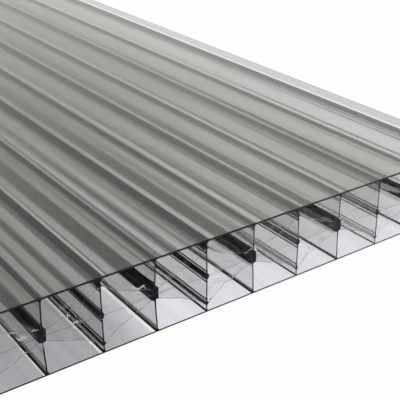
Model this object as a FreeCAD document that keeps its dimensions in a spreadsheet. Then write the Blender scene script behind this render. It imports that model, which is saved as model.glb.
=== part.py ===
import FreeCAD, Part
import math
import os
from collections import namedtuple
import Sketcher

# Multiwall glazing sheet of clear plastic, one extruded piece, in millimetres.
# It lies flat: X across the ribs, Y along the open flutes, Z up from the face it rests on.
# Upright ribs stand at an even pitch, and they come in two kinds that take turns. On a crossing rib
# all thin films meet in one thick weld near the middle of the height. On a corner rib the upper and
# lower films run out close to the skins, and the level middle film meets the rib halfway up.

SIZES = [
    ("sheet_width", 700.0, "across the ribs, a width such sheet is sold in"),
    ("sheet_length", 2000.0, "along the flutes, a length such sheet is sold in"),
    ("sheet_height", 35.0, "over both skins"),
    ("edge_flange", 15.0, "from the last rib to the slit long edge"),
    ("rib_pitch", 25.0, "from rib to rib"),
    ("rib_wall", 0.65, "thickness of an upright rib"),
    ("top_skin", 0.9, "thickness of the weather side"),
    ("bottom_skin", 0.7, "thickness of the room side"),
    ("film_wall", 0.2, "thickness of each inner film"),
    ("joint_drop", 3.2, "from an outer face to the film's end on a corner rib"),
    ("bend_run", 10.0, "from a corner rib to where the film turns straight"),
    ("film_bow", 1.6, "how far the bend lies inside a straight line from joint to weld"),
    ("weld_lift", 0.9, "height of the crossing weld above the middle of the sheet"),
    ("weld_spread", 1.9, "from the weld's centre up or down to the crossed film"),
    ("weld_reach", 1.7, "from the rib's centre to the side of the crossing weld"),
    ("weld_fillet", 0.9, "hollow between a rib and the crossing weld"),
    ("joint_bead", 0.8, "reach of the weld bead under the film's end on a corner rib"),
    ("middle_bead", 1.0, "height and reach of the weld bead where the middle film meets a corner rib"),
    ("skin_fillet", 1.2, "hollow between a rib and a skin"),
]
size = {name: value for name, value, meaning in SIZES}

doc = FreeCAD.newDocument("multiwall")
sheet = doc.addObject("Spreadsheet::Sheet", "sizes")
for row, (name, value, meaning) in enumerate(SIZES, start=1):
    sheet.set("A%d" % row, name)
    sheet.set("B%d" % row, str(value))
    sheet.set("C%d" % row, meaning)
    sheet.setAlias("B%d" % row, name)
doc.recompute()

body = doc.addObject("PartDesign::Body", "sheet_body")
body.Label = "multiwall_sheet"


def origin_part(role):
    """A plane or axis of the body's own origin."""
    return next(item for item in body.Origin.OriginFeatures if item.Role == role)


def named(expression):
    """The expression with every size written as a cell of the sheet."""
    words = expression.replace("(", "( ").replace(")", " )").split()
    return " ".join("sizes." + word if word in size else word for word in words)


# Plane geometry of the section, on points (across, height) kept as vectors.


def point(across, height):
    return FreeCAD.Vector(across, height, 0)


def unit(vector):
    return vector * (1 / vector.Length)


def arc_middle(centre, start, end):
    """The point halfway along the short arc from start to end."""
    return centre + unit((start - centre) + (end - centre)) * (start - centre).Length


def line_fillet(corner, before, after, radius):
    """Start, middle and end of the arc that rounds a corner between two straight edges."""
    back, forth = unit(before - corner), unit(after - corner)
    half = back.getAngle(forth) / 2
    centre = corner + unit(back + forth) * (radius / math.sin(half))
    start = corner + back * (radius / math.tan(half))
    end = corner + forth * (radius / math.tan(half))
    return start, arc_middle(centre, start, end), end


def crossing(first, second, across):
    """The point of the line through two points that lies at a distance across."""
    share = (across - first.x) / (second.x - first.x)
    return first + (second - first) * share


class Film:
    """One crossed film: straight from the weld to its bend, then an arc out to the corner rib."""

    def __init__(self, upper):
        self.upper = upper
        self.side = 1 if upper else -1
        weld_height = size["sheet_height"] / 2 + size["weld_lift"] + self.side * size["weld_spread"]
        self.weld = point(size["rib_pitch"], weld_height)
        self.joint = point(0, self.from_face(size["joint_drop"]))
        chord = self.weld - self.joint
        inward = size["film_bow"] * chord.Length / chord.x
        self.bend = crossing(self.joint, self.weld, size["bend_run"]) - point(0, self.side * inward)
        along = unit(self.weld - self.bend)
        self.outward = point(-along.y, along.x) * self.side
        to_joint = self.joint - self.bend
        self.radius = to_joint.Length ** 2 / (2 * self.outward.dot(to_joint))
        self.centre = self.bend + self.outward * self.radius

    def from_face(self, drop):
        """A height that is measured from the nearer outer face."""
        return size["sheet_height"] - drop if self.upper else drop

    def from_face_rule(self, drop):
        """The same height as an expression."""
        return "sheet_height - " + drop if self.upper else drop

    def weld_height_rule(self):
        return "sheet_height / 2 + weld_lift %s weld_spread" % ("+" if self.upper else "-")

    def straight(self, offset):
        """The two ends of the film's straight stretch, moved outward to one of its sides."""
        moved = self.outward * offset
        return self.weld + moved, self.bend + moved

    def on_bow(self, offset, across):
        """The point on one side of the film's arc that lies at a distance across."""
        fall = math.sqrt((self.radius - offset) ** 2 - (across - self.centre.x) ** 2)
        return point(across, self.centre.y - self.side * fall)


Edge = namedtuple("Edge", "number start end")


class Outline:
    """A closed sketch on the plane across the flutes, drawn edge by edge and then bound."""

    def __init__(self, name):
        self.sketch = body.newObject("Sketcher::SketchObject", name)
        self.sketch.AttachmentSupport = [(origin_part("XZ_Plane"), "")]
        self.sketch.MapMode = "FlatFace"

    def edge(self, start, end, middle=None, guide=False):
        """Adds a line or an arc. An arc may be kept the other way round, so its ends are looked up."""
        curve = Part.LineSegment(start, end) if middle is None else Part.Arc(start, middle, end)
        number = self.sketch.addGeometry(curve, guide)
        first = self.sketch.getPoint(number, 1)
        kept = (first - start).Length < (first - end).Length
        return Edge(number, 1, 2) if kept else Edge(number, 2, 1)

    def rule(self, kind, *where):
        return self.sketch.addConstraint(Sketcher.Constraint(kind, *where))

    def bind(self, expression, kind, *where):
        """A rule with a value, which follows the sheet of sizes."""
        value = FreeCAD.Units.Quantity(body.evalExpression(named(expression))).Value
        number = self.rule(kind, *where, value)
        self.sketch.setExpression("Constraints[%d]" % number, named(expression))

    # The sketch numbers its own width axis -1, whose end 1 is the origin, and its height axis -2.

    def across(self, expression, edge, end):
        self.bind(expression, "DistanceX", -1, 1, edge.number, end)

    def height(self, expression, edge, end):
        self.bind(expression, "DistanceY", -1, 1, edge.number, end)

    def on_width_axis(self, edge, end):
        self.rule("PointOnObject", edge.number, end, -1)

    def on_height_axis(self, edge, end):
        self.rule("PointOnObject", edge.number, end, -2)

    def same_centre(self, bow, other):
        """An arc's centre is its end 3."""
        self.rule("Coincident", bow.number, 3, other.number, 3)

    def upright(self, edge, expression):
        """Stands an edge upright at a distance across."""
        self.rule("Vertical", edge.number)
        self.across(expression, edge, edge.start)

    def close(self, edges, corners):
        """Joins each edge to the next one, sharp at the start of the corners and smooth elsewhere."""
        for here, following in zip(edges, edges[1:] + edges[:1]):
            kind = "Coincident" if following in corners else "Tangent"
            self.rule(kind, here.number, here.end, following.number, following.start)

    def film_guide(self, film):
        """The film's middle line, fixed by the sizes, over a straight line from weld to joint."""
        line = self.edge(film.weld, film.bend, guide=True)
        bow = self.edge(film.bend, film.joint, arc_middle(film.centre, film.bend, film.joint), guide=True)
        chord = self.edge(film.weld, film.joint, guide=True)
        self.rule("Tangent", line.number, line.end, bow.number, bow.start)
        self.rule("Coincident", line.number, line.start, chord.number, chord.start)
        self.rule("Coincident", bow.number, bow.end, chord.number, chord.end)
        self.across("rib_pitch", chord, chord.start)
        self.height(film.weld_height_rule(), chord, chord.start)
        self.on_height_axis(chord, chord.end)
        self.height(film.from_face_rule("joint_drop"), chord, chord.end)
        self.across("bend_run", line, line.end)
        self.bind("film_bow", "Distance", line.number, line.end, chord.number)
        return line, bow

    def film_side(self, film, offset, start, end):
        """One side of the film, from its weld end to its end beside the corner rib."""
        guide_line, guide_bow = self.film_guide(film)
        bend = film.straight(offset)[1]
        line = self.edge(start, bend)
        bow = self.edge(bend, end, arc_middle(film.centre, bend, end))
        self.rule("Parallel", line.number, guide_line.number)
        self.bind("film_wall / 2", "Distance", line.number, line.end, guide_line.number)
        self.same_centre(bow, guide_bow)
        return line, bow


def outer_flute(name, film, skin):
    """The flute between a skin and the crossed film next to it."""
    outline = Outline(name)
    offset = size["film_wall"] / 2
    near = size["rib_wall"] / 2
    far = size["rib_pitch"] - size["rib_wall"] / 2
    near_corner = point(near, film.from_face(size[skin]))
    far_corner = point(far, film.from_face(size[skin]))
    joint = film.on_bow(offset, near)
    weld, bend = film.straight(offset)
    foot = crossing(weld, bend, far)
    near_arc = line_fillet(near_corner, joint, far_corner, size["skin_fillet"])
    far_arc = line_fillet(far_corner, near_corner, foot, size["skin_fillet"])
    weld_arc = line_fillet(foot, far_corner, bend, size["weld_fillet"])

    line, bow = outline.film_side(film, offset, weld_arc[2], joint)
    rib = outline.edge(joint, near_arc[0])
    near_round = outline.edge(near_arc[0], near_arc[2], near_arc[1])
    ceiling = outline.edge(near_arc[2], far_arc[0])
    far_round = outline.edge(far_arc[0], far_arc[2], far_arc[1])
    far_rib = outline.edge(far_arc[2], weld_arc[0])
    weld_round = outline.edge(weld_arc[0], weld_arc[2], weld_arc[1])
    outline.close([line, bow, rib, near_round, ceiling, far_round, far_rib, weld_round], corners=[rib])

    outline.upright(rib, "rib_wall / 2")
    outline.upright(far_rib, "rib_pitch - rib_wall / 2")
    outline.rule("Horizontal", ceiling.number)
    outline.height(film.from_face_rule(skin), ceiling, ceiling.start)
    outline.bind("skin_fillet", "Radius", near_round.number)
    outline.bind("skin_fillet", "Radius", far_round.number)
    outline.bind("weld_fillet", "Radius", weld_round.number)
    return outline.sketch


def inner_flute(name, film):
    """The flute between a crossed film and the middle film."""
    outline = Outline(name)
    offset = size["film_wall"] / 2
    near = size["rib_wall"] / 2
    far = size["rib_pitch"] - size["weld_reach"]
    guide_start = point(0, size["sheet_height"] / 2)
    guide_end = point(size["rib_pitch"], size["sheet_height"] / 2 + size["weld_lift"])
    along = unit(guide_end - guide_start)
    lift = point(-along.y, along.x) * film.side * offset
    middle_start = crossing(guide_start + lift, guide_end + lift, near + size["middle_bead"])
    middle_end = crossing(guide_start + lift, guide_end + lift, far)
    bead_foot = point(near, middle_start.y + film.side * size["middle_bead"])
    joint = film.on_bow(-offset, near + size["joint_bead"])
    weld, bend = film.straight(-offset)
    film_start = crossing(weld, bend, far)

    line, bow = outline.film_side(film, -offset, film_start, joint)
    joint_bead = outline.edge(joint, point(near, joint.y))
    rib = outline.edge(point(near, joint.y), bead_foot)
    middle_bead = outline.edge(bead_foot, middle_start)
    middle = outline.edge(middle_start, middle_end)
    weld_side = outline.edge(middle_end, film_start)
    loop = [line, bow, joint_bead, rib, middle_bead, middle, weld_side]
    outline.close(loop, corners=[edge for edge in loop if edge != bow])

    guide = outline.edge(guide_start, guide_end, guide=True)
    outline.on_height_axis(guide, guide.start)
    outline.height("sheet_height / 2", guide, guide.start)
    outline.across("rib_pitch", guide, guide.end)
    outline.height("sheet_height / 2 + weld_lift", guide, guide.end)
    outline.rule("Parallel", middle.number, guide.number)
    outline.bind("film_wall / 2", "Distance", middle.number, middle.start, guide.number)

    outline.upright(rib, "rib_wall / 2")
    outline.upright(weld_side, "rib_pitch - weld_reach")
    outline.rule("Horizontal", joint_bead.number)
    outline.across("rib_wall / 2 + joint_bead", joint_bead, joint_bead.start)
    outline.across("rib_wall / 2 + middle_bead", middle_bead, middle_bead.end)
    lower, higher = middle_bead.end, middle_bead.start
    if not film.upper:
        lower, higher = higher, lower
    outline.bind("middle_bead", "DistanceY", middle_bead.number, lower, middle_bead.number, higher)
    return outline.sketch


# The full block: its corner rib nearest the slit edge stands on the body's own YZ plane.
block_outline = Outline("block_outline")
left = size["edge_flange"] - size["sheet_width"]
right = size["edge_flange"]
height = size["sheet_height"]
corners = [point(left, 0), point(right, 0), point(right, height), point(left, height)]
floor_side, right_side, top_side, left_side = sides = [
    block_outline.edge(start, end) for start, end in zip(corners, corners[1:] + corners[:1])]
block_outline.close(sides, corners=sides)
block_outline.rule("Horizontal", floor_side.number)
block_outline.rule("Horizontal", top_side.number)
block_outline.rule("Vertical", left_side.number)
block_outline.upright(right_side, "edge_flange")
block_outline.on_width_axis(right_side, right_side.start)
block_outline.height("sheet_height", right_side, right_side.end)
block_outline.bind("sheet_width", "DistanceX", floor_side.number, floor_side.start,
                   floor_side.number, floor_side.end)

block = body.newObject("PartDesign::Pad", "block")
block.Profile = block_outline.sketch
block.SideType = "Symmetric"
block.setExpression("Length", named("sheet_length"))
doc.recompute()

# The four flutes beside a corner rib, cut along the whole length.
upper_film = Film(upper=True)
lower_film = Film(upper=False)
outlines = [
    outer_flute("flute_under_top_skin", upper_film, "top_skin"),
    inner_flute("flute_over_middle_film", upper_film),
    inner_flute("flute_under_middle_film", lower_film),
    outer_flute("flute_over_bottom_skin", lower_film, "bottom_skin"),
]
flutes = []
for outline in outlines:
    flute = body.newObject("PartDesign::Pocket", outline.Name.replace("flute", "cut"))
    flute.Profile = outline
    flute.SideType = "Symmetric"
    flute.Type = "ThroughAll"
    doc.recompute()
    flutes.append(flute)

# The same four flutes mirrored over the corner rib, and the pair of cells repeated to the other edge.
all_flutes = body.newObject("PartDesign::MultiTransform", "all_flutes")
all_flutes.Originals = flutes
other_side = body.newObject("PartDesign::Mirrored", "other_side")
other_side.MirrorPlane = (origin_part("YZ_Plane"), [""])
cells = body.newObject("PartDesign::LinearPattern", "cells")
cells.Direction = (origin_part("X_Axis"), [""])
cells.Reversed = True
cells.Mode = "Spacing"
cells.setExpression("Offset", named("2 * rib_pitch"))
cells.setExpression("Occurrences", named("ceil( ( sheet_width - edge_flange ) / ( 2 * rib_pitch ) ) + 1"))
all_flutes.Transformations = [other_side, cells]
body.Tip = all_flutes

# The sheet's middle comes to the origin, on the floor.
body.setExpression("Placement.Base.x", named("sheet_width / 2 - edge_flange"))
doc.recompute()

# Nothing is written unless every feature came out and the sheet is one sound solid.
for feature in doc.Objects:
    if "Invalid" in feature.State or "Error" in feature.State:
        raise RuntimeError("%s: %s" % (feature.Name, feature.State))
if body.Shape.isNull() or not body.Shape.isValid() or len(body.Shape.Solids) != 1:
    raise RuntimeError("%s is not one sound solid" % body.Label)

# A cut that points away from the block would leave this share at one.
solid_share = body.Shape.Volume / block.Shape.Volume
if solid_share > 0.5:
    raise RuntimeError("the flutes were not cut")
print("%s: %.0f mm3, %.1f%% of its block" % (body.Label, body.Shape.Volume, 100 * solid_share))

os.makedirs("parts", exist_ok=True)
body.Shape.exportStep("parts/%s.step" % body.Label)
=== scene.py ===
import bmesh
import bpy
import math
from mathutils import Matrix, Vector, noise
from mathutils.geometry import tessellate_polygon


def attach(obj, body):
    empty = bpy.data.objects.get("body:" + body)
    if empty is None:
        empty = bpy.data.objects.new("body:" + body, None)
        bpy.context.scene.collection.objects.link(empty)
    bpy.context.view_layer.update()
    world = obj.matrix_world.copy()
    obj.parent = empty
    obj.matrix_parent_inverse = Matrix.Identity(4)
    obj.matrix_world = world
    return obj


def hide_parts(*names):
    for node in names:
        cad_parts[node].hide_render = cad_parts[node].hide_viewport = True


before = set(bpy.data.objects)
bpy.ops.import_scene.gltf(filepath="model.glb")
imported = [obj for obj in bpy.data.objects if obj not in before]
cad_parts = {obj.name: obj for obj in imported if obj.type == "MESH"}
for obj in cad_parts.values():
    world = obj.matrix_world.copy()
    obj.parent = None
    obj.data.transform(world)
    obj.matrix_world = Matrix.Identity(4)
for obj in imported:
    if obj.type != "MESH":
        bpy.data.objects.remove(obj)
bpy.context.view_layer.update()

# The camera stands in front of the middle of the sheet's sawn end, 0.26 m from it and 0.2 m above the floor.
# It looks down at 26 degrees, and 35 degrees to the right of the way the flutes run.
stand = (0.00196, -1.25699, 0.20854)
look = Vector((0.5147, 0.7348, -0.4417)).normalized()
level_with_view = Vector((0.8167, -0.5769, -0.0081))
level_with_view = (level_with_view - look * level_with_view.dot(look)).normalized()
pixels_wide, pixels_deep = 400, 879.7
camera_data = bpy.data.cameras.new("camera")
camera_data.sensor_width = 36.0
camera_data.lens = camera_data.sensor_width * pixels_deep / pixels_wide
camera_data.clip_start = 0.01
camera_data.clip_end = 50.0
camera = bpy.data.objects.new("camera", camera_data)
camera.matrix_world = Matrix.Translation(stand) @ Matrix(
    (level_with_view, level_with_view.cross(look), -look)).transposed().to_4x4()
bpy.context.scene.collection.objects.link(camera)
bpy.context.scene.camera = camera
bpy.context.scene.view_settings.view_transform = "Standard"

# The glazing sheet is one extrusion of clear grey polycarbonate. Its two skins, its upright ribs and the
# three thin films in each cell leave one die together, and weld to each other while they are still soft.

# The sizes of the section, in millimetres. A cell runs from a corner rib at 0 to a crossing rib at pitch.
mm = 0.001
width, length, height = 700.0, 2000.0, 35.0
pitch, rib, flange = 25.0, 0.65, 15.0
top_skin, bottom_skin = 0.9, 0.7
top_round, bottom_round, foot_round, bead_fullness = 1.2, 0.4, 0.65, 1.25
film, joint_drop, bend_at, bow = 0.15, 3.2, 10.0, 1.6
film_first, film_last, film_steps, level_steps = 1.9, 21.5, 14, 13
weld_height, weld_spread, weld_side, weld_round = height / 2 + 0.9, 1.9, 1.7, 0.9
joint_bead, joint_root, joint_swell, joint_swell_rise = 0.8, 0.5, 0.35, 0.1
middle_bead, middle_bead_rise = 0.85, 1.3
ridge_out, ridge_high, ridge_step = 0.22, 0.6, 0.02
ridge_from_middle, ridge_from_joint = 0.9, 1.7
clear_from_skin, clear_from_joint = 0.6, 0.1

# What the plastic is at a point of the section, from a clear film to the lump of a weld, where the most shade
# is painted.
crossed_film, level_film, skin, upright, fillet, bead, lump = 0.0, 0.05, 0.15, 0.35, 0.6, 0.85, 1.0


def rounded(corner, before, after, radius, steps=4):
    """Points on the arc that rounds a corner between two straight walls."""
    corner, before, after = Vector(corner), Vector(before), Vector(after)
    back, forth = (before - corner).normalized(), (after - corner).normalized()
    half = back.angle(forth) / 2
    centre = corner + (back + forth).normalized() * radius / math.sin(half)
    first, last = (corner + way * radius / math.tan(half) - centre for way in (back, forth))
    sweep = first.angle(last)
    return [centre + (first * math.sin(sweep * (1 - k / steps)) + last * math.sin(sweep * k / steps))
            / math.sin(sweep) for k in range(steps + 1)]


def spaced(first, last, count):
    return [first + (last - first) * k / count for k in range(count + 1)]


def of_kind(kind, points):
    """Points of the section as (across, up, kind)."""
    return [Vector((p[0], p[1], kind)) for p in points]


class Film:
    """A crossed film: straight from the weld to its bend, then bowed out to the corner rib."""

    def __init__(self, side):
        self.side = side
        self.weld = Vector((pitch, weld_height + side * weld_spread))
        self.joint = Vector((0.0, height - joint_drop if side > 0 else joint_drop))
        chord = self.weld - self.joint
        on_chord = self.joint + chord * (bend_at / pitch)
        self.bend = on_chord - Vector((0.0, side * bow * chord.length / chord.x))
        along = (self.weld - self.bend).normalized()
        self.out = Vector((-along.y, along.x)) * side
        to_joint = self.joint - self.bend
        self.radius = to_joint.length ** 2 / (2 * self.out.dot(to_joint))
        self.centre = self.bend + self.out * self.radius

    def point(self, u, offset):
        """The point at u on the film's side towards the skin, or on its other side for a negative offset."""
        turn = self.bend.x + self.out.x * offset
        if u < turn:
            fall = math.sqrt((self.radius - offset) ** 2 - (u - self.centre.x) ** 2)
            return Vector((u, self.centre.y - self.side * fall))
        first, last = self.bend + self.out * offset, self.weld + self.out * offset
        return first.lerp(last, (u - first.x) / (last.x - first.x))


# Both sides of a film are drawn through points at the same places, so that they never cross.
film_stops = spaced(film_first, film_last, film_steps)


def flash(u, z, side):
    """A fine ridge of squeezed-out plastic on a corner rib, and the clear wall on both sides of it."""
    ridge = [(u, z), (u + ridge_out, z + side * ridge_high / 2), (u, z + side * ridge_high)]
    return (of_kind(upright, [(u, z - side * ridge_step)]) + of_kind(bead, ridge)
            + of_kind(upright, [(u, z + side * (ridge_high + ridge_step))]))


def outer_flute(side):
    """Outline of the flute between a skin and the crossed film next to it."""
    near, far = rib / 2, pitch - rib / 2
    wall = Film(side)
    if side > 0:
        level, near_round, far_round, far_kind = height - top_skin, top_round, top_round, fillet
    else:
        level, near_round, far_round, far_kind = bottom_skin, bottom_round, foot_round, lump
    offset = film / 2
    on_straight = wall.point(bend_at + 2, offset)
    weld_arc = rounded(wall.point(far, offset), (far, level), on_straight, weld_round)
    joint = wall.point(near, offset)
    points = of_kind(bead, [joint]) + of_kind(crossed_film, [wall.point(u, offset) for u in film_stops])
    points += of_kind(lump, weld_arc[::-1])
    points += of_kind(upright, [(far, z) for z in spaced(weld_arc[0].y, level - side * far_round, 4)[1:-1]])
    points += of_kind(far_kind, rounded((far, level), (far, joint.y), (near, level), far_round))
    points += of_kind(skin, [(u, level) for u in spaced(far - far_round, near + near_round, 5)[1:-1]])
    skin_bead = near_round * bead_fullness
    points += of_kind(bead, rounded((near, level), (far, level), (near, height / 2), skin_bead))
    if side < 0:
        points += of_kind(upright, [(near, level + clear_from_skin), (near, joint.y - clear_from_joint)])
    return points


def inner_flute(side):
    """Outline of the flute between a crossed film and the level middle film."""
    near, far = rib / 2, pitch - weld_side
    wall = Film(side)
    offset = -film / 2
    slope = (weld_height - height / 2) / pitch

    def middle(u):
        return height / 2 + slope * u + side * film / 2

    lip, last = wall.point(near + joint_bead, offset), wall.point(far, offset)
    root = Vector((near, lip.y - side * joint_root))
    stem = middle(near + middle_bead)
    quarter = [math.radians(angle) for angle in (0, 30, 60, 90)]
    points = of_kind(bead, [root, (near + joint_bead * joint_swell, lip.y + side * joint_swell_rise), lip])
    points += of_kind(crossed_film, [wall.point(u, offset) for u in film_stops])
    points += of_kind(lump, [last, (far, middle(far))])
    level_stops = spaced(far, near + middle_bead, level_steps)[1:-1]
    points += of_kind(level_film, [(u, middle(u)) for u in level_stops])
    rise = side * middle_bead_rise
    points += of_kind(bead, [(near + middle_bead * math.cos(turn), stem + rise * math.sin(turn))
                             for turn in quarter])
    top = stem + rise
    points += flash(near, top + side * ridge_from_middle, side)
    points += of_kind(upright, [(near, (top + root.y) / 2)])
    points += flash(near, root.y - side * ridge_from_joint, side)
    return points


# How unevenly the section cools and how the saw tears it, in millimetres. The noise that each of these
# follows is how fast it changes across, along and up, and a seed.
outermost_lean, crossing_lean = 4.0, 0.5
rib_crook, crook_noise = 0.35, (0.013, 0.004, 0.03, 3.1)
film_sag, sag_noise = 0.4, (0.045, 0.005, 0.05, 9.7)
film_ripple, ripple_noise = 0.1, (0.11, 0.015, 0.11, 5.3)
torn_length, film_fray, fray_noise = 30.0, 0.4, (0.3, 0.05, 0.1, 17.9)
tear_depth, tear_least, tear_noise = 2.5, 0.15, (0.3, 0.0, 0.15, 31.3)
ragged_length, raggedness = 6.0, 0.5
ragged_across, ragged_up = (0.9, 0.25, 0.9, 41.7), (0.9, 0.25, 0.9, 63.1)


def wave(place, pattern):
    """A smooth value from -1 to 1 that differs from cell to cell."""
    across, along, up, seed = pattern
    return noise.noise(Vector((place.x * across + seed, place.y * along, place.z * up)))


def settled(place, kind):
    """Where a point of the section ends up: ribs and films cool crooked, and the saw tears the films."""
    cell = (width / 2 - flange - place.x) / pitch
    crossing = (1 - math.cos(math.pi * cell)) / 2
    level = 2 * place.z / height - 1
    inside = max(0.0, 1 - level * level)
    hung = math.sin(math.pi * cell) ** 2 * inside
    from_last_rib = abs(abs(place.x) - width / 2 + flange)
    shift = math.copysign(outermost_lean * max(0.0, 1 - from_last_rib / flange), place.x)
    shift += -crossing_lean * crossing * inside ** 2 + rib_crook * inside * wave(place, crook_noise)
    sag = hung * (film_sag * wave(place, sag_noise) + film_ripple * wave(place, ripple_noise))
    from_saw = length / 2 - abs(place.y)
    tear = 0.0
    if kind == crossed_film:
        near_saw = max(0.0, 1 - from_saw / torn_length)
        sag += film_fray * near_saw * hung * wave(place, fray_noise)
        tear = tear_depth * near_saw * hung * max(0.0, wave(place, tear_noise) + tear_least)
    if kind == lump:
        ragged = raggedness * max(0.0, 1 - from_saw / ragged_length) * min(1.0, 2 * inside)
        shift += ragged * wave(place, ragged_across)
        sag += ragged * wave(place, ragged_up)
    return Vector((place.x + shift, place.y + math.copysign(tear, -place.y), place.z + sag))


def area(points):
    return sum(a.x * b.y - b.x * a.y for a, b in zip(points, points[1:] + points[:1])) / 2


def clipped(points, edge, sign, on_edge=1e-9):
    """The part of a closed outline inside a slit long edge, as a chain that starts and ends on the edge."""
    inside = [sign * (edge - p.x) > on_edge for p in points]
    chain = []
    start = next(k for k in range(len(points)) if not inside[k - 1] and inside[k])
    for k in range(len(points)):
        here, before = (start + k) % len(points), (start + k - 1) % len(points)
        if inside[here] != inside[before]:
            a, b = points[before], points[here]
            chain.append(a.lerp(b, (edge - a.x) / (b.x - a.x)))
        if inside[here]:
            chain.append(points[here])
    return chain


def side_chain(chains, upward):
    """The open flutes of a long edge in order, each walked in the same direction."""
    walked = []
    for chain in sorted(chains, key=lambda c: c[0].y + c[-1].y, reverse=not upward):
        walked += chain if (chain[0].y < chain[-1].y) == upward else chain[::-1]
    return walked


# The flutes of every cell. The outermost ones are slit open by the long edges.
left_edge, right_edge = -width / 2, width / 2
flutes, open_left, open_right = [], [], []
for cell in range(-1, math.ceil((width - flange) / pitch)):
    right_rib = right_edge - flange - pitch * cell
    base, way = (right_rib, -1) if cell % 2 == 0 else (right_rib - pitch, 1)
    for outline in (outer_flute(1), inner_flute(1), inner_flute(-1), outer_flute(-1)):
        points = [Vector((base + way * p.x, p.y, p.z)) for p in outline]
        if max(p.x for p in points) > right_edge:
            open_right.append(clipped(points, right_edge, 1))
        elif min(p.x for p in points) < left_edge:
            open_left.append(clipped(points, left_edge, -1))
        else:
            flutes.append(points if area(points) < 0 else points[::-1])

rim = of_kind(skin, [(left_edge, 0.0), (right_edge, 0.0)]) + side_chain(open_right, True)
rim += of_kind(skin, [(right_edge, height), (left_edge, height)]) + side_chain(open_left, False)
loops = [rim] + flutes

# The walls are drawn out along the length, closer together near the sawn ends, and capped there.
stations = [0, 3, 8, 16, 28, 44, 65, 95, 140, 200, 290, 420, 600, 900, 1300, 1700, 2000]
mesh = bmesh.new()
kind_of_face = mesh.faces.layers.float.new("kind")
rings = []
for points in loops:
    ring = []
    for station in stations:
        row = []
        for p in points:
            place = settled(Vector((p.x, station - length / 2, p.y)), p.z)
            place.x = min(max(place.x, left_edge), right_edge)
            row.append(mesh.verts.new(place * mm))
        ring.append(row)
    rings.append(ring)
    for here, after in zip(ring, ring[1:]):
        for k in range(len(points)):
            n = (k + 1) % len(points)
            wall = mesh.faces.new((here[k], after[k], after[n], here[n]))
            wall.smooth = True
            wall[kind_of_face] = min(points[k].z, points[n].z)
kinds = [p.z for points in loops for p in points]
triangles = tessellate_polygon([[Vector((p.x, p.y, 0)) for p in points] for points in loops])
for end in (0, -1):
    verts = [v for ring in rings for v in ring[end]]
    for triangle in triangles:
        mesh.faces.new([verts[k] for k in triangle])[kind_of_face] = max(kinds[k] for k in triangle)
bmesh.ops.recalc_face_normals(mesh, faces=mesh.faces)

# The saw melts the ends of the films into burrs, in millimetres, which are smaller near the right-hand edge.
burr_noise, burr_least = (0.45, 0.3, 7.7), 0.2
burr_core, burr_swell, burr_turns, behind_cut = 0.02, 0.9, (0.3, 1.9, 3.4, 5.0), 0.02
fewer_from, fewer_over, fewer = 220, 50, 0.8


def strand(rings):
    """A closed string of torn plastic through rings of four points that turn to the right about its way."""
    rows = [[mesh.verts.new(point * mm) for point in ring] for ring in rings]
    faces = [(here[k - 1], here[k], after[k], after[k - 1])
             for here, after in zip(rows, rows[1:]) for k in range(4)]
    for corners in faces + [rows[0][::-1], rows[-1]]:
        mesh.faces.new(corners).material_index = 1


def burrs(path, seed):
    """Melted plastic along the end of a film, thick and thin by turns. The path goes to the right."""
    swells, rings = [], []
    for place in path:
        spot = Vector((place.x * burr_noise[0] + seed, place.z * burr_noise[1], burr_noise[2]))
        swell = max(0.0, noise.noise(spot) - burr_least)
        swell *= 1 - fewer * max(0.0, min(1.0, (place.x - fewer_from) / fewer_over))
        radius = burr_core + burr_swell * swell
        centre = place + Vector((0.0, math.copysign(radius + behind_cut, -place.y), 0.0))
        swells.append(swell)
        rings.append([centre + Vector((0.0, radius * math.cos(turn), radius * math.sin(turn)))
                      for turn in burr_turns])
    run = []
    for k in range(len(path) + 1):
        if max(swells[max(0, k - 1):k + 2], default=0.0) > 0 and k < len(path):
            run.append(rings[k])
        else:
            if len(run) > 1:
                strand(run)
            run = []


# It also tears narrow tabs loose from them. A tab as (across, up, lean, reach, half its breadth).
tab_thickness, tab_rows, tab_curl, tab_sway, tab_tilt = 0.03, 8, 1.6, 0.25, 0.3
tab_start, tab_least, root_depth, root_share = 0.8, 0.3, 0.1, 0.5
tabs = [
    (99.6, 21.4, -50, 3.6, 0.2), (100.4, 19.8, 8, 4.0, 0.2), (101.6, 21.4, -80, 3.0, 0.14),
    (105.6, 21.6, -14, 3.4, 0.12), (121.0, 23.9, -85, 2.4, 0.22), (121.0, 22.6, 20, 1.4, 0.14),
    (122.2, 17.9, 14, 3.8, 0.2), (124.4, 19.6, -60, 1.8, 0.14), (115.4, 18.9, 20, 0.8, 0.25),
    (116.6, 21.9, 70, 0.7, 0.2), (149.4, 25.6, -40, 5.0, 0.16), (151.2, 23.2, -14, 4.4, 0.2),
    (150.8, 22.2, -35, 2.4, 0.14), (154.4, 23.6, -50, 2.2, 0.14), (161.0, 24.6, -40, 2.6, 0.12),
    (163.4, 22.8, -12, 5.2, 0.12), (208.4, 22.4, -20, 3.6, 0.3), (210.6, 23.0, -70, 1.6, 0.2)]


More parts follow.
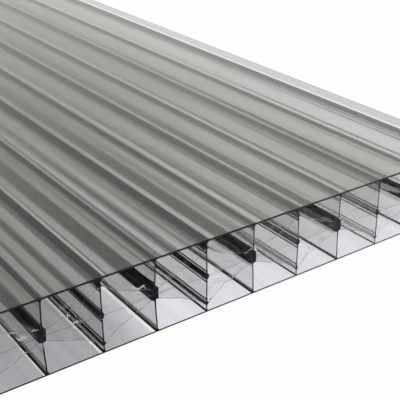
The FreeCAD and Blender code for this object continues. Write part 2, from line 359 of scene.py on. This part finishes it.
def torn_tab(root, foot, lean, reach, breadth, seed):
    """A narrow tab that grows from the torn film at root, hangs on at foot and curls."""
    start = noise.noise(Vector((seed, 0.0, 0.0)))
    centre, rings = Vector(foot), []
    thickness = Vector((0.0, tab_thickness, 0.0))
    for k in range(tab_rows):
        turn = math.radians(lean) + tab_curl * (noise.noise(Vector((seed, k * 0.45, 0.0))) - start)
        sway = tab_sway * noise.noise(Vector((seed, 9.0, k * 0.7)))
        way = Vector((math.cos(turn), sway, math.sin(turn)))
        half = breadth * math.sin(math.pi * (k + 1.2) / (tab_rows + 1.4))
        half *= 1 + 0.8 * noise.noise(Vector((k * 0.9, seed, 3.3)))
        beside = Vector((-way.z, tab_tilt, way.x)) * half
        ring = [centre + beside, centre - beside, centre - beside + thickness, centre + beside + thickness]
        if k == 0:
            rings.append([root + (point - centre) * root_share for point in ring])
        rings.append(ring)
        centre += way * reach / (tab_rows - 1)
        centre.y = max(centre.y, -length / 2 + tab_least)
    strand(rings)


film_ends = []
for number, points in enumerate(flutes):
    for end in (-1, 1):
        path = [settled(Vector((p.x, end * length / 2, p.y)), p.z) for p in points if p.z == crossed_film]
        path.sort(key=lambda place: place.x)
        burrs(path, number * 3.7 + (end + 1) * length / 2)
        film_ends += path
for number, (x, z, lean, reach, breadth) in enumerate(tabs):
    foot = Vector((x, -length / 2 + tab_start, z))
    root = min(film_ends, key=lambda place: (place - foot).length)
    torn_tab(root + Vector((0.0, root_depth, 0.0)), foot, lean, reach, breadth, number * 2.3)

sheet_mesh = bpy.data.meshes.new("multiwall_sheet_walls")
mesh.to_mesh(sheet_mesh)
mesh.free()
sheet_mesh.set_sharp_from_angle(angle=math.radians(28))
sheet = bpy.data.objects.new("multiwall_sheet_walls", sheet_mesh)
bpy.context.scene.collection.objects.link(sheet)
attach(sheet, "root")
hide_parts("multiwall_sheet")


class Shade:
    """A value on its way through a material. Arithmetic on it adds Math nodes to the same tree."""

    def __init__(self, tree, socket=None):
        self.tree, self.socket = tree, socket

    def make(self, kind, settings={}, sockets={}, out=0):
        """Adds a node: its settings first, then the value or the link of each socket."""
        node = self.tree.nodes.new(kind)
        for name, value in settings.items():
            if name == "stops":
                stops = node.color_ramp.elements
                while len(stops) < len(value):
                    stops.new(1.0)
                for stop, (place, colour) in zip(stops, value):
                    stop.position, stop.color = place, colour
            else:
                setattr(node, name, value)
        for name, value in sockets.items():
            if isinstance(value, Shade):
                self.tree.links.new(value.socket, node.inputs[name])
            else:
                node.inputs[name].default_value = value
        return Shade(self.tree, node.outputs[out] if node.outputs else None)

    def math(self, operation, *values):
        return self.make("ShaderNodeMath", {"operation": operation}, dict(enumerate(values)))

    def __add__(self, other):
        return self.math("ADD", self, other)

    def __radd__(self, other):
        return self.math("ADD", other, self)

    def __sub__(self, other):
        return self.math("SUBTRACT", self, other)

    def __rsub__(self, other):
        return self.math("SUBTRACT", other, self)

    def __mul__(self, other):
        return self.math("MULTIPLY", self, other)

    def __rmul__(self, other):
        return self.math("MULTIPLY", other, self)


def emptied(owner):
    """The owner's node tree with nothing in it, to start its material from."""
    owner.use_nodes = True
    owner.node_tree.nodes.clear()
    return Shade(owner.node_tree)


def eased(value, first, last, low=0.0, high=1.0):
    """From low to high, smoothly, as the value goes from first to last."""
    return value.make("ShaderNodeMapRange", {"interpolation_type": "SMOOTHSTEP"},
                      {0: value, 1: first, 2: last, 3: low, 4: high})


def mixed(share, colour, other):
    return share.make("ShaderNodeMix", {"data_type": "RGBA"}, {0: share, 6: colour, 7: other}, out=2)


def mixed_shader(share, shader, other):
    return share.make("ShaderNodeMixShader", sockets={0: share, 1: shader, 2: other})


def stretched(place, by):
    """The place multiplied in each direction, for noise that is drawn out along the flutes."""
    return place.make("ShaderNodeVectorMath", {"operation": "MULTIPLY"}, {0: place, 1: by})


# Its skins and ribs are clear and glossy, with shade painted darker into their tint where the plastic gathers
# in fillets, beads and welds.
# Their gloss is a little drawn out along the flutes, as it left the die, and scuffed on the skins.
plastic = bpy.data.materials.new("clear_grey_polycarbonate")
shade = emptied(plastic)
white, polish, polycarbonate_index = (1.0, 1.0, 1.0, 1.0), 0.012, 1.585
spot = shade.make("ShaderNodeTexCoord", out="Object")
across, along, up = (shade.make("ShaderNodeSeparateXYZ", sockets={0: spot}, out=axis) for axis in range(3))
from_middle = shade.math("ABSOLUTE", along)
facing = shade.make("ShaderNodeTexCoord", out="Normal")
facing_along = shade.make("ShaderNodeSeparateXYZ", sockets={0: facing}, out=1)
cut = shade.math("GREATER_THAN", shade.math("ABSOLUTE", facing_along), 0.7)
kind = shade.make("ShaderNodeAttribute", {"attribute_name": "kind"}, out="Fac")
is_film = shade.math("LESS_THAN", kind, (level_film + skin) / 2)
is_skin = shade.math("COMPARE", kind, skin, 0.03)

# Painted light from the right: towards the right-hand edge, less shade is painted on the gathered plastic and
# on the sawn faces.
painted_light_from_right = eased(across, 0.17, 0.27)
# Painted shade in the glass's tint: white for films and skins, darker for ribs, fillets, beads and weld
# lumps.
painted_shade_tint = shade.make("ShaderNodeValToRGB", {"stops": [
    (0.0, white), (skin, white), (upright, (0.84, 0.84, 0.86, 1.0)), (fillet, (0.5, 0.5, 0.52, 1.0)),
    (bead, (0.3, 0.3, 0.33, 1.0)), (lump, (0.16, 0.16, 0.18, 1.0))]}, {0: kind}, out="Color")
painted_shade_tint = mixed(painted_light_from_right * 0.45, painted_shade_tint, white)
streak = shade.make("ShaderNodeTexNoise", sockets={
    "Vector": stretched(spot, (120.0, 2.0, 120.0)), "Scale": 1.0, "Detail": 1.5})
drawn = shade.make("ShaderNodeBump", sockets={"Strength": 0.2, "Distance": 0.0002, "Height": streak})
scuffed = eased(from_middle, 0.95, 0.82, 0.05, 0.1)
wall_glass = shade.make("ShaderNodeBsdfPrincipled", sockets={
    "Base Color": painted_shade_tint, "Roughness": polish + cut * 0.3 + is_skin * scuffed, "IOR": polycarbonate_index,
    "Transmission Weight": 1.0, "Normal": drawn})
film_glass = shade.make("ShaderNodeBsdfPrincipled", sockets={
    "Base Color": white, "Roughness": polish, "IOR": 1.2, "Transmission Weight": 1.0, "Normal": drawn})
glass = mixed_shader(is_film, wall_glass, film_glass)

# Where the plastic gathers in beads and welds, painted shade makes it nearly black, with fine lines along the
# flutes;
# painted light makes it paler and bluer towards the right-hand edge.
lines = shade.make("ShaderNodeTexNoise", sockets={
    "Vector": stretched(spot, (1400.0, 6.0, 1400.0)), "Scale": 1.0, "Detail": 1.0})
weld_shade_colour = shade.make("ShaderNodeValToRGB", {"stops": [
    (0.4, (0.01, 0.011, 0.014, 1.0)), (0.72, (0.05, 0.052, 0.062, 1.0))]}, {0: lines}, out="Color")
shaded_weld_black = shade.make("ShaderNodeBsdfPrincipled", sockets={
    "Base Color": mixed(painted_light_from_right * 0.7, weld_shade_colour, (0.045, 0.05, 0.07, 1.0)), "Roughness": 0.4, "IOR": 1.12})
# How much of the painted black shade covers the plastic, by its kind, with less of it towards the right.
weld_shade_share = shade.make("ShaderNodeMapRange", sockets={0: kind, 1: upright, 2: bead, 3: 0.0, 4: 0.95})
not_lump = shade.math("LESS_THAN", kind, 0.95)
weld_shade_share = weld_shade_share * (1.0 - painted_light_from_right * (0.46 + 0.36 * not_lump))
walls = mixed_shader(weld_shade_share, glass, shaded_weld_black)

# The sawn faces are scraped, with painted shade that makes them black, and painted light that makes them
# paler along the bottom and towards the right-hand edge.
patchy = shade.make("ShaderNodeTexNoise", sockets={"Vector": spot, "Scale": 900.0, "Detail": 1.0})
scraped_and_shaded = shade.make("ShaderNodeValToRGB", {"stops": [
    (0.5, (0.004, 0.004, 0.006, 1.0)), (0.75, (0.05, 0.052, 0.06, 1.0))]}, {0: patchy}, out="Color")
paler = painted_light_from_right * shade.math("LESS_THAN", kind, 0.5) * shade.math("LESS_THAN", up, 0.033)
sawn_face_shade = shade.make("ShaderNodeBsdfPrincipled", sockets={
    "Base Color": mixed(paler * 0.8, scraped_and_shaded, (0.13, 0.15, 0.19, 1.0)), "Roughness": 0.7, "IOR": 1.2})
# Along the bottom and towards the right, the painted shade of the cut faces is lifted, as painted light.
low = shade.make("ShaderNodeMapRange", sockets={0: up, 1: 0.004, 2: 0.001})
cut_shade_lifted = shade.math("MAXIMUM", painted_light_from_right * 0.45, low * eased(across, 0.15, 0.2) * 0.6)
walls = mixed_shader(cut * (0.92 - cut_shade_lifted), walls, sawn_face_shade)

# The films are frayed white at the cut, and dusty just behind it.
torn = shade.make("ShaderNodeBsdfPrincipled", sockets={
    "Base Color": (0.85, 0.86, 0.88, 1.0), "Roughness": 0.6, "IOR": polycarbonate_index})
dust = shade.make("ShaderNodeTexNoise", sockets={"Vector": spot, "Scale": 170.0, "Detail": 3.0})
haze = eased(from_middle, 0.985, 0.999) * eased(dust, 0.52, 0.68) * is_film * 0.13
surface = mixed_shader(shade.math("MAXIMUM", cut * is_film * 0.12, haze), walls, torn)
grey = shade.make("ShaderNodeVolumeAbsorption", sockets={"Color": (0.42, 0.415, 0.31, 1.0), "Density": 330.0})
shade.make("ShaderNodeOutputMaterial", sockets={"Surface": surface, "Volume": grey})
sheet_mesh.materials.append(plastic)

# The burrs and tabs are the same plastic, stretched until it turned white. Their light and dark creases
# come from the tearing.
torn_plastic = bpy.data.materials.new("torn_polycarbonate")
shade = emptied(torn_plastic)
creased = shade.make("ShaderNodeTexNoise", sockets={
    "Vector": shade.make("ShaderNodeTexCoord", out="Object"), "Scale": 2500.0, "Detail": 1.0})
whitened = shade.make("ShaderNodeValToRGB", {"stops": [
    (0.3, (0.76, 0.77, 0.79, 1.0)), (0.6, (0.88, 0.89, 0.91, 1.0))]}, {0: creased}, out="Color")
fray = shade.make("ShaderNodeBsdfPrincipled", sockets={
    "Base Color": whitened, "Roughness": 0.5, "IOR": polycarbonate_index, "Transmission Weight": 0.4})
shade.make("ShaderNodeOutputMaterial", sockets={"Surface": fray})
sheet_mesh.materials.append(torn_plastic)

# The floor is one plain pale board that the sheet rests on, white to the camera. Seen through the clear
# plastic it shows light and shade painted into its glow: dim on the left, full on the right, shaded again
# past the long edge, and a painted bright line beside the feet of the ribs.
floor_reach, floor_drop = 12.0, 0.0004
floor_mesh = bpy.data.meshes.new("floor")
floor_mesh.from_pydata([(-floor_reach, -floor_reach, 0), (floor_reach, -floor_reach, 0),
                        (floor_reach, floor_reach, 0), (-floor_reach, floor_reach, 0)], [], [(0, 1, 2, 3)])
floor = bpy.data.objects.new("floor", floor_mesh)
floor.location.z = -floor_drop
bpy.context.scene.collection.objects.link(floor)
paint = bpy.data.materials.new("pale_floor")
shade = emptied(paint)
seen = shade.make("ShaderNodeLightPath", out="Is Camera Ray")
through = shade.make("ShaderNodeLightPath", out="Is Transmission Ray")
matt = shade.make("ShaderNodeBsdfDiffuse", sockets={"Color": (0.88, 0.88, 0.88, 1.0)})
glow = shade.make("ShaderNodeEmission", sockets={"Color": white, "Strength": 1.0})
open_floor = mixed_shader(seen * 0.96, matt, glow)

lying = shade.make("ShaderNodeTexCoord", out="Object")
across = shade.make("ShaderNodeSeparateXYZ", sockets={0: lying}, out=0)
reaches_under = eased(across, 0.135, 0.175)
shaded_at_edge = eased(across, 0.385, 0.402, 1.0, 0.38)
full_beyond = eased(across, 0.424, 0.432, 0.0, 0.62)
lit = reaches_under * (shaded_at_edge + full_beyond)
under = shade.make("ShaderNodeValToRGB", {"stops": [
    (0.0, (0.495, 0.495, 0.54, 1.0)), (1.0, (0.99, 1.0, 1.1, 1.0))]}, {0: lit}, out="Color")
grain = shade.make("ShaderNodeTexNoise", sockets={"Vector": lying, "Scale": 500.0, "Detail": 1.0})
last_rib = (width / 2 - flange) * mm
beside = shade.math("FRACT", (last_rib + 0.0003 - across) * (1 / (pitch * mm)))
broader = shade.make("ShaderNodeMapRange", sockets={0: across, 1: 0.12, 2: 0.155, 3: -0.015, 4: 0.03})
fainter = shade.make("ShaderNodeMapRange", sockets={0: across, 1: 0.162, 2: 0.175, 3: 1.0, 4: 0.0})
# A painted bright line of light beside the foot of each rib, only on the left part of the sheet.
line = eased(beside, 0.025, 0.04) - eased(beside - broader + grain * 0.05, 0.065, 0.11)
line = shade.math("MAXIMUM", line, 0.0) * fainter
beneath = shade.make("ShaderNodeEmission", sockets={
    "Color": mixed(line, under, (1.1, 1.1, 1.12, 1.0)), "Strength": 1.05})
surface = mixed_shader(through * 0.95, open_floor, beneath)
shade.make("ShaderNodeOutputMaterial", sockets={"Surface": surface})
floor_mesh.materials.append(paint)

# The studio is soft white light from all round, with three dark boards behind the sheet that its skins and
# films mirror. A board as (direction of its middle, where it begins, where it is full, how dark it is).
boards = (
    ((-0.15, 0.79, 0.60), 0.88, 0.97, 0.94),
    ((0.30, 0.79, 0.53), 0.92, 1.0, 0.40),
    ((0.74, 0.60, 0.30), 0.93, 1.0, 0.25))
studio = bpy.data.worlds.new("studio")
bpy.context.scene.world = studio
shade = emptied(studio)
seen = shade.make("ShaderNodeLightPath", out="Is Camera Ray")
way = shade.make("ShaderNodeTexCoord", out="Generated")
shadow = 0.0
for middle, begins, full, darkness in boards:
    near_board = shade.make("ShaderNodeVectorMath", {"operation": "DOT_PRODUCT"},
                            {0: way, 1: middle}, out="Value")
    shadow = shade.math("MAXIMUM", shadow, eased(near_board, begins, full, 0.0, darkness))
sky = shade.make("ShaderNodeBackground", sockets={"Color": (1.06, 1.06, 1.03, 1.0), "Strength": 1.0})
board = shade.make("ShaderNodeBackground", sockets={"Color": (0.0, 0.0, 0.0, 1.0), "Strength": 1.0})
backdrop = shade.make("ShaderNodeBackground", sockets={"Color": white, "Strength": 1.0})
around = mixed_shader(shadow, sky, board)
shade.make("ShaderNodeOutputWorld", sockets={"Surface": mixed_shader(seen, around, backdrop)})

# Light passes many thin walls before it leaves the sheet.
cycles = bpy.context.scene.cycles
cycles.max_bounces = 40
cycles.transmission_bounces = 40
cycles.glossy_bounces = 24
cycles.diffuse_bounces = 3
